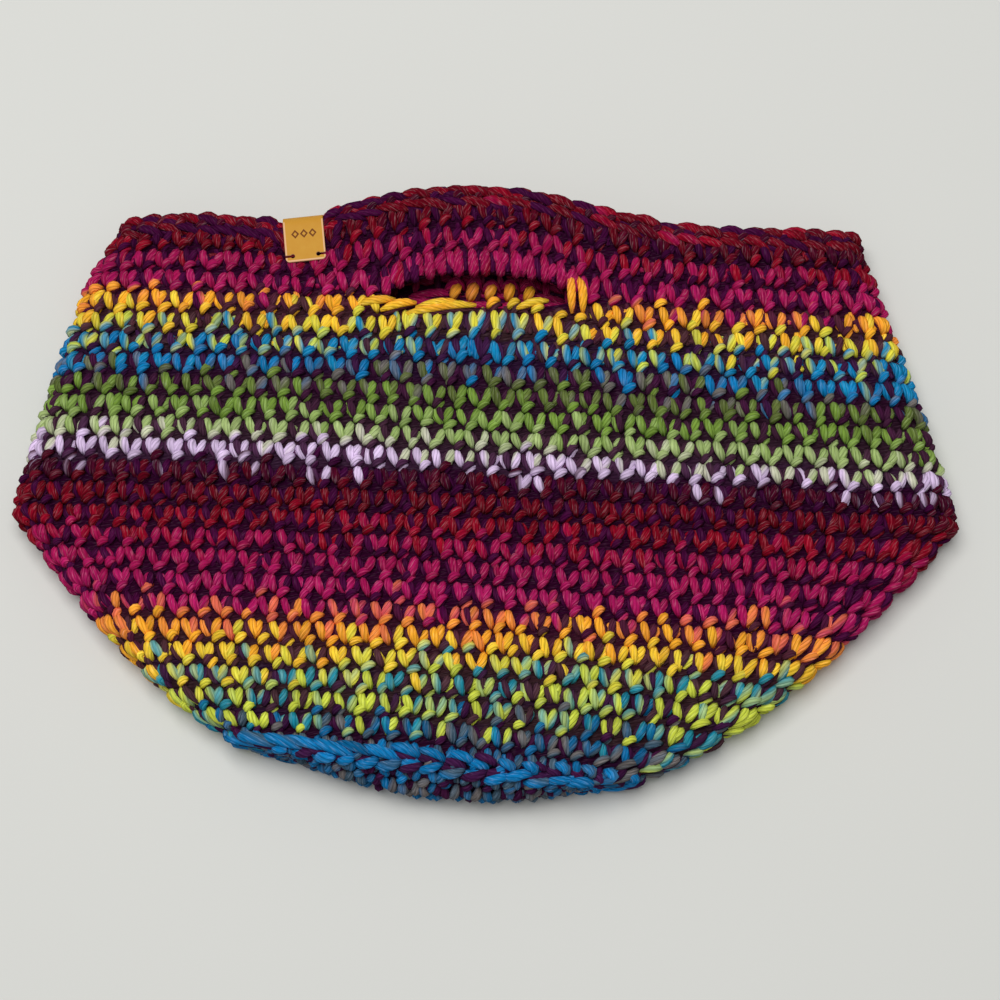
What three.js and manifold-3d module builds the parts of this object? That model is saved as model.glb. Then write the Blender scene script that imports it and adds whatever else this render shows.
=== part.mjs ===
// A crochet tote bag lying flat on its back. Thick two-strand yarn is worked in the round: an oval base,
// a wall that widens and then narrows again, a hand slot in the front and in the back, and an edging round
// the mouth. A small leather tag is folded over the front rim and slit for locking its two ends.
// Millimetres, +Z up, +Y towards the mouth. The bag is centred on its footprint and lies on Z = 0.

import * as THREE from "three";
import { mergeVertices } from "three/addons/utils/BufferGeometryUtils.js";
import Module from "manifold-3d";

// Body as it lies flat
const SEAM_WIDTH = 141; // across the seam between base and wall
const BODY_WIDTH = 405; // across the widest round
const RIM_WIDTH = 332; // across the mouth
const BODY_HEIGHT = 231.5; // from the middle of the seam to the last round, away from the handles
const WALL = 7.5; // crochet fabric, from inner face to stitch crest
const INNER_GAP = 9; // clear height between front and back at the side folds
const CROWN = 5; // how much higher the front lies along the middle
const BASE_BULGE = 12.7; // reach of the folded base past the middle of its seam
const BASE_DRAW = 8; // how far each end of the base's middle line lies inside the seam
const SEAM_SHIFT = -23; // how far the seam's middle lies towards +X
const SEAM_TILT = 0.116; // slope of the seam down towards +X
const SEAM_FADE = 1.07; // power by which that shift and slope fade towards the widest round
const BASE_FULLNESS = 0.84; // power of the base's bulge along the seam, fuller when smaller
const LOWER_FLARE = 0.65; // power of the widening from seam to widest round
const ROUND_TILT = 0.025; // slope of the rounds down towards +X, reached at the widest round
const UPPER_TAPER = 1.16; // power of the narrowing from widest round to mouth

// Rounds of stitches
const LOWER_ROUND_COUNT = 11; // from the seam to the widest round
const UPPER_ROUND_COUNT = 10; // from the widest round to the hand slots
const HANDLE_ROUND_COUNT = 3; // from the hand slots to the rim
const BASE_ROUND_COUNT = 2; // from the seam to the base's middle line
const GROOVE = 1.8; // depth between two rounds
const CREST_SHARE = 0.5; // part of a round's height that is crest
const SEAM_RIDGE = 1.5; // how far the loops along the seam stand proud
const RIM_ROLL = 4.2; // height of the edging above the last round

// Hand slots and the handle bands above them
const SLOT_WIDTH = 88;
const SLOT_FRONT_HEIGHT = 11;
const SLOT_BACK_HEIGHT = 7.5;
const SLOT_FRONT_SINK = 5; // how far the front slot's lower edge sags in its middle
const SLOT_BACK_SINK = 1;
const SLOT_LIP = 0.6; // fabric left between the groove and the slot's lower edge
const SLOT_BLUNTNESS = 3; // power of the slot's arch, squarer at the ends when larger
const HANDLE_SPAN = 215.5; // length of rim that arches up over a slot
const HANDLE_FRONT_RISE = 16.8;
const HANDLE_BACK_RISE = 14;
const HANDLE_LEAN = -4; // how far the arch's peak lies towards +X

// Leather tag
const TAG_WIDTH = 17.5;
const TAG_DROP = 21.6; // from the top of the fold to the lower end of each leaf
const TAG_THICKNESS = 1.2;
const TAG_CORNER = 1.8; // radius of the leaves' lower corners
const TAG_X = -78.4; // from the bag's middle line to the tag's
const TAG_TILT_DEGREES = 5.2;
const TAG_PRESS = 8; // how far the tag pulls the rim down
const TAG_SLACK = 0.8; // from the rim to the inside of the fold
const TAG_SEAT = 0.3; // from the leaves to the crochet
const SLIT_FOOT = 2.6; // from the leaf's lower end to its two slits
const SLIT_LENGTH = 3.2; // from the leaf's side edge to the round end of a slit
const SLIT_WIDTH = 1;
const SLIT_HOLE = 1.9; // diameter of a slit's round end

// Fineness of the curved surfaces
const FACE_STEPS = 20;
const FOLD_STEPS = 6;
const EDGING_STEPS = 6;
const INNER_ROUND_STEP = 2;
const INNER_BASE_STEPS = 2;
const SLOT_STEPS = 16;
const HOLE_SIDES = 12;
const TAG_CURVE_STEPS = 8;

const WIDEST_ROUND = LOWER_ROUND_COUNT;
const SLOT_ROUND = LOWER_ROUND_COUNT + UPPER_ROUND_COUNT;
const RIM_ROUND = SLOT_ROUND + HANDLE_ROUND_COUNT;
const ROUND_HEIGHT = BODY_HEIGHT / RIM_ROUND;
const FOLD_RADIUS = WALL + INNER_GAP / 2;
const SLOT_Y = ROUND_HEIGHT * SLOT_ROUND + SLOT_LIP;

const wasm = await Module();
wasm.setup();

// Half of the flat width at a round, counted from the seam upwards
function halfWidth(round) {
  if (round <= WIDEST_ROUND) {
    const share = (round / WIDEST_ROUND) ** LOWER_FLARE;
    return (SEAM_WIDTH + (BODY_WIDTH - SEAM_WIDTH) * share) / 2;
  }
  const share = ((round - WIDEST_ROUND) / (RIM_ROUND - WIDEST_ROUND)) ** UPPER_TAPER;
  return (BODY_WIDTH - (BODY_WIDTH - RIM_WIDTH) * share) / 2;
}

// How far a slot's edge lies from the line between its ends: a blunt arch that is full in the middle
function slotRise(x, height) {
  const share = Math.min(Math.abs(x) / (SLOT_WIDTH / 2), 1);
  return height * (1 - share ** SLOT_BLUNTNESS);
}

// The rim's arch over a slot: one smooth hump, with its peak off the middle
function handleRise(x, height) {
  const share = THREE.MathUtils.clamp((x - HANDLE_LEAN) / (HANDLE_SPAN / 2), -1, 1);
  return height * Math.cos((share * Math.PI) / 2) ** 2;
}

// The dip that the tag makes in the front rim: full under its middle and gone one tag width away
function tagPress(x) {
  const share = THREE.MathUtils.clamp((x - TAG_X) / TAG_WIDTH, -1, 1);
  return TAG_PRESS * Math.cos((share * Math.PI) / 2) ** 2;
}

// How much of the seam's shift and slope a round has: all at the seam, none from the widest round on
function seamShare(round) {
  return Math.max(1 - round / WIDEST_ROUND, 0) ** SEAM_FADE;
}

// How far along the bag a round lies at x from the round's middle: all rounds slope, the handle rounds arch
function roundY(round, x, isFront) {
  const tilt = ROUND_TILT * Math.min(round / WIDEST_ROUND, 1) + SEAM_TILT * seamShare(round);
  const level = ROUND_HEIGHT * round - tilt * x;
  if (round <= SLOT_ROUND) return level;
  const slot = slotRise(x, isFront ? SLOT_FRONT_HEIGHT : SLOT_BACK_HEIGHT);
  const arch = handleRise(x, isFront ? HANDLE_FRONT_RISE : HANDLE_BACK_RISE);
  const handle = isFront ? arch - tagPress(x) : arch;
  return level + THREE.MathUtils.lerp(slot, handle, (round - SLOT_ROUND) / HANDLE_ROUND_COUNT);
}

// The front's extra height at x, zero where the flat face meets the side fold
function crownAt(x, straight) {
  return CROWN * (1 - (x / straight) ** 2);
}

// One closed loop round the bag at a round, sunk by depth into the fabric: across the front, round the
// right fold, back underneath and round the left fold. What the table presses flat stays on Z = 0.
function wallRing(round, depth, rise = 0) {
  const straight = halfWidth(round) - FOLD_RADIUS;
  const radius = FOLD_RADIUS - depth;
  const middle = SEAM_SHIFT * seamShare(round);
  const ring = [];
  const addPoint = (x, z, isFront) => {
    ring.push(new THREE.Vector3(middle + x, roundY(round, x, isFront) + rise, Math.max(z, 0)));
  };
  for (let step = 0; step <= FACE_STEPS; step += 1) {
    const x = straight * ((2 * step) / FACE_STEPS - 1);
    addPoint(x, FOLD_RADIUS + radius + crownAt(x, straight), true);
  }
  for (let step = 1; step < FOLD_STEPS; step += 1) {
    const angle = Math.PI / 2 - (Math.PI * step) / FOLD_STEPS;
    addPoint(straight + radius * Math.cos(angle), FOLD_RADIUS + radius * Math.sin(angle), true);
  }
  for (let step = 0; step <= FACE_STEPS; step += 1) {
    addPoint(straight * (1 - (2 * step) / FACE_STEPS), FOLD_RADIUS - radius, false);
  }
  for (let step = 1; step < FOLD_STEPS; step += 1) {
    const angle = -Math.PI / 2 - (Math.PI * step) / FOLD_STEPS;
    addPoint(-straight + radius * Math.cos(angle), FOLD_RADIUS + radius * Math.sin(angle), true);
  }
  return ring;
}

// One loop of the base, from the seam at share 0 to the base's middle line at share 1. The loop closes
// from front and back on a rounded end, and at share 1 both halves lie on the same line.
function baseRing(share, depth) {
  const angle = (share * Math.PI) / 2;
  const reach = halfWidth(0) - Math.max(depth, 0);
  const draw = 1 - (BASE_DRAW / reach) * Math.sin(angle);
  return wallRing(0, depth).map((point) => {
    const x = point.x - SEAM_SHIFT;
    const fullness = Math.max(1 - (x / reach) ** 2, 0) ** BASE_FULLNESS;
    const bulge = (BASE_BULGE - depth) * fullness;
    return new THREE.Vector3(
      SEAM_SHIFT + x * draw,
      point.y - bulge * Math.sin(angle),
      FOLD_RADIUS + (point.z - FOLD_RADIUS) * Math.cos(angle),
    );
  });
}

// The loops of the whole crochet wall in order: up the outside from the base's middle line to the rim,
// over the edging, and down the inside to the base's middle line again
function bodyRings() {
  const crestStart = (1 - CREST_SHARE) / 2;
  const crestEnd = 1 - crestStart;
  const rings = [baseRing(1, GROOVE)];
  for (let round = BASE_ROUND_COUNT - 1; round >= 0; round -= 1) {
    rings.push(baseRing((round + crestEnd) / BASE_ROUND_COUNT, 0));
    rings.push(baseRing((round + crestStart) / BASE_ROUND_COUNT, 0));
    if (round > 0) rings.push(baseRing(round / BASE_ROUND_COUNT, GROOVE));
  }
  rings.push(baseRing(0, -SEAM_RIDGE));
  for (let round = 0; round < RIM_ROUND; round += 1) {
    rings.push(wallRing(round + crestStart, 0));
    rings.push(wallRing(round + crestEnd, 0));
    rings.push(wallRing(round + 1, GROOVE));
  }
  for (let step = 1; step < EDGING_STEPS; step += 1) {
    const angle = (Math.PI * step) / EDGING_STEPS;
    rings.push(wallRing(RIM_ROUND, (WALL / 2) * (1 - Math.cos(angle)), RIM_ROLL * Math.sin(angle)));
  }
  rings.push(wallRing(RIM_ROUND, WALL));
  rings.push(wallRing(SLOT_ROUND + crestStart, WALL));
  for (let round = SLOT_ROUND; round > 0; round -= INNER_ROUND_STEP) rings.push(wallRing(round, WALL));
  for (let step = 0; step <= INNER_BASE_STEPS; step += 1) {
    rings.push(baseRing(step / INNER_BASE_STEPS, WALL));
  }
  return rings;
}

// A closed surface through neighbouring loops that all have the same number of points
function skinOf(rings) {
  const count = rings[0].length;
  const index = [];
  for (let row = 0; row + 1 < rings.length; row += 1) {
    for (let column = 0; column < count; column += 1) {
      const here = row * count + column;
      const next = row * count + ((column + 1) % count);
      index.push(here, next, here + count, next, next + count, here + count);
    }
  }
  const geometry = new THREE.BufferGeometry().setFromPoints(rings.flat());
  geometry.setIndex(index);
  return geometry;
}

// A solid for joining and cutting, from a closed geometry
function solidOf(geometry) {
  const bare = geometry.clone();
  bare.deleteAttribute("normal");
  bare.deleteAttribute("uv");
  const merged = mergeVertices(bare, 1e-4);
  const corners = merged.index.array;
  const triangles = [];
  for (let at = 0; at < corners.length; at += 3) {
    const [a, b, c] = [corners[at], corners[at + 1], corners[at + 2]];
    if (a !== b && b !== c && c !== a) triangles.push(a, b, c);
  }
  return new wasm.Manifold(
    new wasm.Mesh({
      numProp: 3,
      vertProperties: new Float32Array(merged.attributes.position.array),
      triVerts: new Uint32Array(triangles),
    }),
  );
}

// A drawable geometry from a cut solid
function geometryOf(solid) {
  const mesh = solid.getMesh();
  const geometry = new THREE.BufferGeometry();
  geometry.setAttribute("position", new THREE.BufferAttribute(mesh.vertProperties, 3));
  geometry.setIndex(new THREE.BufferAttribute(mesh.triVerts, 1));
  geometry.computeVertexNormals();
  return geometry;
}

// A prism that cuts one hand slot, from the middle of the bag out through one wall. Its lower edge sags
// as its upper edge rises.
function slotCutter(height, sink, fromZ, toZ) {
  const outline = new THREE.Shape();
  outline.moveTo(-SLOT_WIDTH / 2, SLOT_Y + (ROUND_TILT * SLOT_WIDTH) / 2);
  for (let step = 1; step <= SLOT_STEPS; step += 1) {
    const x = SLOT_WIDTH * (step / SLOT_STEPS - 0.5);
    outline.lineTo(x, SLOT_Y - ROUND_TILT * x - slotRise(x, sink));
  }
  for (let step = 1; step < SLOT_STEPS; step += 1) {
    const x = SLOT_WIDTH * (0.5 - step / SLOT_STEPS);
    outline.lineTo(x, SLOT_Y - ROUND_TILT * x + slotRise(x, height));
  }
  const prism = new THREE.ExtrudeGeometry(outline, { depth: toZ - fromZ, bevelEnabled: false });
  return solidOf(prism.translate(0, 0, fromZ));
}

// Where the tag hangs: its own X runs along the rim, Y points up over it and Z out of the front.
// Its origin is on the stitch crests, level with the inside of the fold.
function tagPlace() {
  const straight = halfWidth(RIM_ROUND) - FOLD_RADIUS;
  const slope = (-2 * CROWN * TAG_X) / straight ** 2;
  const tilt = THREE.MathUtils.degToRad(TAG_TILT_DEGREES);
  const highest = Math.max(
    ...[-0.5, 0, 0.5].map((share) => {
      const across = share * TAG_WIDTH;
      return roundY(RIM_ROUND, TAG_X + across, true) - across * Math.tan(tilt);
    }),
  );
  const place = new THREE.Group();
  place.position.set(
    TAG_X,
    highest + RIM_ROLL + TAG_SLACK,
    2 * FOLD_RADIUS + crownAt(TAG_X, straight),
  );
  place.rotation.set(0, -Math.atan(slope), tilt, "ZYX");
  place.updateMatrix();
  return place;
}

// The tag's section across the rim: a strip folded into a U, drawn along its own Y and Z
function tagSection(leafEnd) {
  const inner = WALL / 2 + TAG_SEAT;
  const outer = inner + TAG_THICKNESS;
  const section = new THREE.Shape();
  section.moveTo(leafEnd, outer);
  section.lineTo(-inner, outer);
  section.absarc(-inner, 0, outer, Math.PI / 2, -Math.PI / 2, true);
  section.lineTo(leafEnd, -outer);
  section.lineTo(leafEnd, -inner);
  section.lineTo(-inner, -inner);
  section.absarc(-inner, 0, inner, -Math.PI / 2, Math.PI / 2, false);
  section.lineTo(leafEnd, inner);
  return section;
}

// The tag's outline seen from the front, with its two lower corners rounded
function tagOutline(leafEnd) {
  const side = TAG_WIDTH / 2;
  const top = 2 * TAG_THICKNESS;
  const cornerY = leafEnd + TAG_CORNER;
  const outline = new THREE.Shape();
  outline.moveTo(-side, top);
  outline.lineTo(-side, cornerY);
  outline.absarc(TAG_CORNER - side, cornerY, TAG_CORNER, Math.PI, 1.5 * Math.PI, false);
  outline.absarc(side - TAG_CORNER, cornerY, TAG_CORNER, -Math.PI / 2, 0, false);
  outline.lineTo(side, top);
  return outline;
}

// One slit through both leaves: a cut in from the side edge that ends in a round hole
function slitCutters(side, slitY, reach) {
  const edge = TAG_WIDTH / 2;
  const length = SLIT_LENGTH + SLIT_WIDTH;
  const cut = new THREE.BoxGeometry(length, SLIT_WIDTH, reach);
  cut.translate(side * (edge - SLIT_LENGTH + length / 2), slitY, -WALL / 2);
  const hole = new THREE.CylinderGeometry(SLIT_HOLE / 2, SLIT_HOLE / 2, reach, HOLE_SIDES);
  hole.rotateX(Math.PI / 2).translate(side * (edge - SLIT_LENGTH), slitY, -WALL / 2);
  return [cut, hole];
}

// The folded strip, trimmed to its outline and slit from both sides near the ends of its leaves
function tagGeometry() {
  const leafEnd = TAG_THICKNESS - TAG_DROP;
  const reach = 2 * (WALL + 2 * TAG_SEAT + 2 * TAG_THICKNESS);
  const turn = new THREE.Matrix4().makeBasis(
    new THREE.Vector3(0, 1, 0),
    new THREE.Vector3(0, 0, 1),
    new THREE.Vector3(1, 0, 0),
  );
  const strip = new THREE.ExtrudeGeometry(tagSection(leafEnd), {
    depth: TAG_WIDTH,
    bevelEnabled: false,
    curveSegments: TAG_CURVE_STEPS,
  });
  strip.applyMatrix4(turn).translate(-TAG_WIDTH / 2, 0, -WALL / 2);
  const outline = new THREE.ExtrudeGeometry(tagOutline(leafEnd), {
    depth: reach,
    bevelEnabled: false,
    curveSegments: TAG_CURVE_STEPS,
  });
  outline.translate(0, 0, -(WALL + reach) / 2);
  let tag = solidOf(strip).intersect(solidOf(outline));
  for (const side of [-1, 1]) {
    for (const cutter of slitCutters(side, leafEnd + SLIT_FOOT, reach)) tag = tag.subtract(solidOf(cutter));
  }
  return geometryOf(tag);
}

// The crochet body: the shell with a hand slot through its front and one through its back
function bodyGeometry() {
  const above = 2 * FOLD_RADIUS + CROWN + WALL;
  const front = slotCutter(SLOT_FRONT_HEIGHT, SLOT_FRONT_SINK, FOLD_RADIUS, above);
  const back = slotCutter(SLOT_BACK_HEIGHT, SLOT_BACK_SINK, -WALL, FOLD_RADIUS);
  return geometryOf(solidOf(skinOf(bodyRings())).subtract(front).subtract(back));
}

function mesh(name, geometry, color, roughness) {
  const material = new THREE.MeshStandardMaterial({ color, roughness, metalness: 0 });
  const made = new THREE.Mesh(geometry, material);
  made.name = name;
  return made;
}

const bag = new THREE.Group();
const tag = tagPlace();
bag.add(mesh("bag_body", bodyGeometry(), 0x8c3a5e, 0.9));
tag.add(mesh("leather_tag", tagGeometry(), 0xc89b50, 0.6));
bag.add(tag);

const footprint = new THREE.Box3().setFromObject(bag);
const middle = footprint.getCenter(new THREE.Vector3());
bag.position.set(-middle.x, -middle.y, -footprint.min.z);

export default bag;
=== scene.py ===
"""A crochet tote bag lying flat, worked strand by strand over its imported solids.

Lengths are in millimetres until a mesh is written, which is in metres. Rounds are counted upwards from the
seam between base and wall, so the base has negative rounds. A share runs once round the bag: it starts at the
middle of the left side fold, passes over the front, and comes back underneath.
"""

import logging
from collections.abc import Callable
from dataclasses import dataclass, field, fields, replace
from enum import Enum

import bmesh
import bpy
import numpy as np
from mathutils import Matrix, Vector


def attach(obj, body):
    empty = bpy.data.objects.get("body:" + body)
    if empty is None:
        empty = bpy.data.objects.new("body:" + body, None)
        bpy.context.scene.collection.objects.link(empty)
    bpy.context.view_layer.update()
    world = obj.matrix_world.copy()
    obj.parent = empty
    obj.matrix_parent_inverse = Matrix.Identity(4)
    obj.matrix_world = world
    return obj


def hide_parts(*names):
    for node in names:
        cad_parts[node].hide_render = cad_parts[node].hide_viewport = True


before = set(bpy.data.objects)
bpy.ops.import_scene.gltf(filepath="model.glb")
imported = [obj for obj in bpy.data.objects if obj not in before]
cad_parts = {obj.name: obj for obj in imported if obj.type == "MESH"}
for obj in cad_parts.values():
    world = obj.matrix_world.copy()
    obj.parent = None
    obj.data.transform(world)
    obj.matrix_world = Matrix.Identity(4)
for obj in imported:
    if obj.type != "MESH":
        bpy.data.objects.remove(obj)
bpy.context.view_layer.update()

log = logging.getLogger("crochet_tote")
Array = np.ndarray
Colour = tuple[int, int, int]
Pair = tuple[float, float]
Table = tuple[Pair, ...]
Map = Callable[[Array, Array, Array], Array]
Socket = bpy.types.NodeSocket
Material = bpy.types.Material
Piece = bpy.types.Object
MM = 0.001
WELD = 1e-6


class Dye(Enum):
    """The colours that follow each other along the striped strand, as sRGB bytes."""

    SLATE = (66, 88, 104)
    STONE = (104, 98, 96)
    DEEP_SEA = (14, 96, 146)
    SEA = (14, 116, 176)
    TEAL = (30, 134, 156)
    LIME = (196, 206, 70)
    CITRON = (218, 210, 66)
    CORN = (242, 198, 54)
    AMBER = (246, 170, 44)
    APRICOT = (238, 140, 60)
    SALMON = (222, 104, 78)
    ROSE = (168, 24, 90)
    MAGENTA = (154, 18, 74)
    CRIMSON = (140, 8, 34)
    GARNET = (104, 6, 24)
    MULBERRY = (64, 8, 34)
    LILAC = (212, 188, 222)
    SAND = (190, 190, 166)
    PALE_GREEN = (160, 180, 114)
    LEAF = (116, 147, 58)
    OLIVE = (92, 104, 52)
    TURQUOISE = (20, 130, 178)
    PLUM = (60, 8, 52)


class Strand(Enum):
    """The two strands that are worked together."""

    STRIPED = 0
    PLUM = 1


class Side(Enum):
    """The two faces of the crochet."""

    OUTER = 1
    INNER = -1


def linear(colour: Colour) -> tuple[float, float, float, float]:
    """The linear colour of sRGB bytes, by the standard curve, with full alpha.

    Args:
        colour: Red, green and blue from 0 to 255.

    Returns:
        Linear red, green, blue and alpha from 0 to 1.
    """
    share = np.asarray(colour) / 255
    light = np.where(share <= 0.04045, share / 12.92, ((share + 0.055) / 1.055) ** 2.4)
    return (*light.tolist(), 1.0)


def read(table: Table, rounds: Array) -> Array:
    """A table's value for each round, straight between its entries and level past its ends."""
    return np.interp(rounds, *zip(*table, strict=True))


def even(number: float) -> Map:
    """A map that gives every place the same number along the striped strand."""
    return lambda across, up, height: number + 0 * across


@dataclass(frozen=True)
class BagForm:
    """The bag's sizes as it lies flat, and where each place of the crochet lies."""

    seam_width: float = 141.0
    body_width: float = 405.0
    rim_width: float = 332.0
    body_height: float = 231.5
    wall: float = 7.5
    inner_gap: float = 9.0
    crown: float = 5.0
    base_bulge: float = 12.7
    base_draw: float = 8.0
    seam_shift: float = -23.0
    seam_tilt: float = 0.116
    seam_fade: float = 1.07
    seam_y: float = -119.211
    base_fullness: float = 0.84
    lower_flare: float = 0.65
    round_tilt: float = 0.025
    upper_taper: float = 1.16
    base_rounds: int = 2
    widest_round: int = 11
    slot_round: int = 21
    rim_round: int = 24
    rim_roll: float = 4.2
    slot_width: float = 88.0
    slot_heights: Pair = (11.0, 7.5)
    slot_sinks: Pair = (5.0, 1.0)
    slot_bluntness: float = 3.0
    handle_span: float = 215.5
    handle_rises: Pair = (16.8, 14.0)
    handle_lean: float = -4.0
    tag_width: float = 17.5
    tag_length: float = 21.6
    tag_x: float = -78.4
    tag_press: float = 8.0
    tag_tilt: float = 5.2
    tag_middle: Pair = (-77.53, 110.26)
    tag_slope: float = 0.033
    tag_fold: Pair = (20.0, 27.9)
    tag_bend: float = 9.5
    tag_margin: float = 0.5
    corner_start: float = 98.0
    corner_reach: float = 68.0
    corner_draw: float = 6.0
    corner_rise: float = 3.0
    corner_rounds: Pair = (4.0, 2.6)

    @property
    def round_height(self) -> float:
        """Height of one round."""
        return self.body_height / self.rim_round

    @property
    def fold_radius(self) -> float:
        """Outer radius of the two side folds."""
        return self.wall + self.inner_gap / 2

    @property
    def quarter(self) -> float:
        """Length of a quarter circle of a side fold."""
        return np.pi * self.fold_radius / 2

    def half_width(self, rounds: Array) -> Array:
        """Half of the flat width: a power of the round's share, widening below and narrowing above.

        Args:
            rounds: Rounds above the seam.

        Returns:
            Half widths.
        """
        below = np.clip(rounds / self.widest_round, 0, 1) ** self.lower_flare
        above = np.clip(rounds - self.widest_round, 0, None) / (self.rim_round - self.widest_round)
        wide = self.seam_width + (self.body_width - self.seam_width) * below
        return (wide - (self.body_width - self.rim_width) * above**self.upper_taper) / 2

    def straight(self, rounds: Array) -> Array:
        """Half of the flat stretch between the two side folds."""
        return self.half_width(rounds) - self.fold_radius

    def perimeter(self, rounds: Array) -> Array:
        """Length once round the bag: two flat faces and two half circles."""
        return 4 * self.straight(rounds) + 2 * np.pi * self.fold_radius

    def seam_share(self, rounds: Array) -> Array:
        """How much of the seam's shift and slope a round has: all at the seam, none from the widest round."""
        return np.clip(1 - rounds / self.widest_round, 0, 1) ** self.seam_fade

    def level(self, rounds: Array, x: Array, front: Array, band: Array) -> Array:
        """How far along the bag a round lies: evenly stepped, sloping, arched in the handles and pressed down
        by the tag.

        Args:
            rounds: Rounds above the seam.
            x: Places across the bag, from the round's middle.
            front: True on the front face.
            band: True for the handle rounds, which rise from the slot's upper edge to the rim's arch.

        Returns:
            Places along the bag, from the seam's middle.
        """
        tilt = self.round_tilt * np.clip(rounds / self.widest_round, 0, 1)
        tilt = tilt + self.seam_tilt * self.seam_share(rounds)
        flat = self.round_height * rounds - tilt * x
        slot = np.where(front, *self.slot_heights) * self.slot_arch(x)
        lean = np.clip((x - self.handle_lean) / (self.handle_span / 2), -1, 1)
        handle = np.where(front, *self.handle_rises) * np.cos(lean * np.pi / 2) ** 2
        near = np.clip((x - self.tag_x) / self.tag_width, -1, 1)
        handle = handle - np.where(front, self.tag_press, 0) * np.cos(near * np.pi / 2) ** 2
        share = (rounds - self.slot_round) / (self.rim_round - self.slot_round)
        return flat + np.where(band, slot + (handle - slot) * share, 0)

    def slot_arch(self, x: Array) -> Array:
        """How open a slot is at x, from 0 at its ends to 1: one less a power of the way from its middle."""
        return 1 - np.clip(np.abs(x) / (self.slot_width / 2), 0, 1) ** self.slot_bluntness

    def across(self, rounds: Array, share: Array) -> Array:
        """The place x that a share has on the flat faces of the bag.

        Args:
            rounds: Rounds above the seam.
            share: Shares round the bag.

        Returns:
            Places across the bag, from the round's middle.
        """
        above = np.maximum(rounds, 0)
        half = self.quarter + self.straight(above)
        run = (share % 1) * self.perimeter(above)
        return np.where(share % 1 < 0.5, run - half, 3 * half - run)

    def share_at(self, x: Array, rounds: Array, front: bool) -> Array:
        """The share at which a flat face of the bag has the place x."""
        half = self.quarter + self.straight(rounds)
        return (half + x if front else 3 * half - x) / self.perimeter(rounds)

    def upright(self, middle: Array, rounds: Array, share: Array) -> Array:
        """Shares at which a stitch stands upright, though its rounds have other lengths and shifts. The
        distance from the middle of its face stays what it is at the stitch's middle, but not at the folds,
        to which that fades out by a fourth power.

        Args:
            middle: Rounds above the seam at the stitch's middle.
            rounds: Rounds above the seam at the place within the stitch.
            share: Shares round the bag, as worked.

        Returns:
            Shares round the bag.
        """
        middle, rounds = np.maximum(middle, 0), np.maximum(rounds, 0)
        on_front = share % 1 < 0.5
        centre = np.where(on_front, 0.25, 0.75)
        away = share % 1 - centre
        length = self.perimeter(rounds)
        ratio = self.perimeter(middle) / length
        shift = self.seam_shift * (self.seam_share(middle) - self.seam_share(rounds))
        step = away * (ratio - 1) + np.where(on_front, shift, -shift) / length
        return centre + away + step * (1 - (away / 0.25) ** 4)

    def place(self, rounds: Array | float, share: Array, depth: Array, band: Array | bool) -> Array:
        """Points of the crochet. A round is a flat loop of two faces and two half-circle folds, and the base
        turns a quarter circle from the seam to its middle line while it bulges out. The upper left corner is
        drawn in and stands a little higher.

        Args:
            rounds: Rounds above the seam, negative on the base.
            share: Shares round the bag.
            depth: Depths into the fabric from the stitch crests.
            band: True for the handle rounds.

        Returns:
            Points with a last axis of three.
        """
        rounds, share, depth, band = np.broadcast_arrays(rounds, share, depth, band)
        above = np.maximum(rounds, 0)
        radius, quarter, straight = self.fold_radius, self.quarter, self.straight(above)
        run = (share % 1) * self.perimeter(above)
        on_front = np.clip(run - quarter, 0, 2 * straight)
        on_right = np.clip(run - quarter - 2 * straight, 0, 2 * quarter)
        on_back = np.clip(run - 3 * quarter - 2 * straight, 0, 2 * straight)
        on_left = np.clip(run, 0, quarter) + np.clip(run - 3 * quarter - 4 * straight, 0, quarter)
        angle = np.pi - (on_left + on_right) / radius
        middle = on_front - on_back - straight
        front = angle > 0
        x = middle + (radius - depth) * np.cos(angle)
        z = (radius - depth) * np.sin(angle)
        z = z + np.where(front, self.crown * (1 - (middle / straight) ** 2), 0)
        y = self.level(above, x, front, band)
        turn = np.clip(-rounds / self.base_rounds, 0, 1) * np.pi / 2
        reach = self.seam_width / 2 - np.maximum(depth, 0)
        fullness = np.clip(1 - (x / reach) ** 2, 0, None) ** self.base_fullness
        y = y - (self.base_bulge - depth) * fullness * np.sin(turn)
        x = x * (1 - self.base_draw / reach * np.sin(turn)) + self.seam_shift * self.seam_share(above)
        corner = np.clip((-x - self.corner_start) / self.corner_reach, 0, 1)
        rise, draw = (np.clip(1 - (self.rim_round - above) / span, 0, 1) for span in self.corner_rounds)
        y = y + self.corner_rise * np.sin(np.pi * corner) * rise
        x = x + self.corner_draw * corner * draw**2
        return np.stack([x, y + self.seam_y, radius + z * np.cos(turn)], -1)

    def under_tag(self, points: Array) -> Array:
        """Points with those in the tag's fold pressed between its two leaves and under its round bend.

        Args:
            points: Points with a last axis of three.

        Returns:
            The points, with the same shape.
        """
        angle = np.radians(self.tag_tilt)
        away = points[..., :2] - self.tag_middle
        across = away[..., 0] * np.cos(angle) + away[..., 1] * np.sin(angle)
        up = away[..., 1] * np.cos(angle) - away[..., 0] * np.sin(angle)
        inside = np.abs(across) < self.tag_width / 2 + self.tag_margin
        inside &= up > -self.tag_length / 2 - self.tag_margin
        inside &= points[..., 2] > self.fold_radius
        low, high = self.tag_fold
        half = (high - low) / 2
        middle = (low + high) / 2 + self.tag_slope * across
        room = np.sqrt(half**2 - np.clip(up - self.tag_bend + half, 0, half) ** 2)
        pressed = points.copy()
        pressed[..., 2] = np.clip(points[..., 2], middle - room, middle + room)
        pressed[..., 1] -= np.maximum(up - self.tag_bend, 0)
        return np.where(inside[..., None], pressed, points)

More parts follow.
